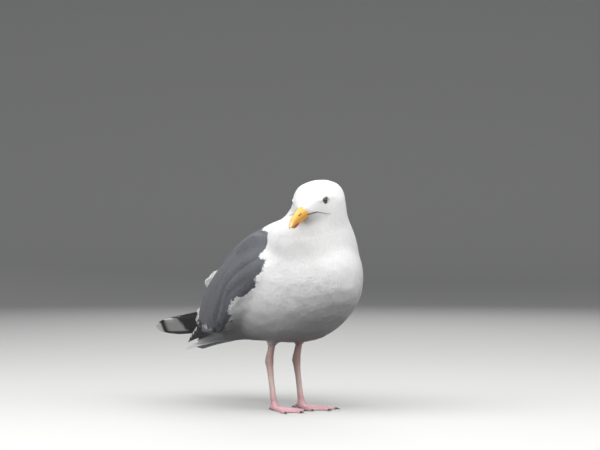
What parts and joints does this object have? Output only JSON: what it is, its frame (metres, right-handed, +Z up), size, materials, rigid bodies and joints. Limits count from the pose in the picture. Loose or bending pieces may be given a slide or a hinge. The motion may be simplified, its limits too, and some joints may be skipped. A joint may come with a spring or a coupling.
{
  "type": "standing gull",
  "caption": "Still life-size adult gull standing with folded wings, head turned to its right and bill dipped; white with a slate-grey back and black wing tips.",
  "frame": {"origin": "on the floor below the middle of the bird's bounding box", "axes": "+X the way the breast faces, +Y the bird's left, +Z up"},
  "size_m": [0.4338, 0.1762, 0.3196],
  "materials": {
    "white_plumage": "soft matte feathers",
    "grey_plumage": "soft matte feathers",
    "black_plumage": "matte feathers",
    "bill": "smooth horn",
    "eye": "wet gloss",
    "leg_skin": "scaled skin",
    "claw": "dark horn"
  },
  "bodies": {
    "root": {"bill_lower": "bill", "bill_upper": "bill", "claw_left_hind": "claw", "claw_left_inner": "claw", "claw_left_middle": "claw", "claw_left_outer": "claw", "claw_right_hind": "claw", "claw_right_inner": "claw", "claw_right_middle": "claw", "claw_right_outer": "claw", "eye_left": "eye", "eye_right": "eye", "foot_left": "leg_skin", "foot_right": "leg_skin", "head": "white_plumage", "mantle": "grey_plumage", "neck": "white_plumage", "primaries_left": "black_plumage", "primaries_right": "black_plumage", "shank_left": "leg_skin", "shank_right": "leg_skin", "tail": "white_plumage", "tertials_left": "white_plumage", "tertials_right": "white_plumage", "thigh_left": "white_plumage", "thigh_right": "white_plumage", "trunk": "white_plumage", "wing_left": "grey_plumage", "wing_right": "grey_plumage"}
  },
  "joints": []
}
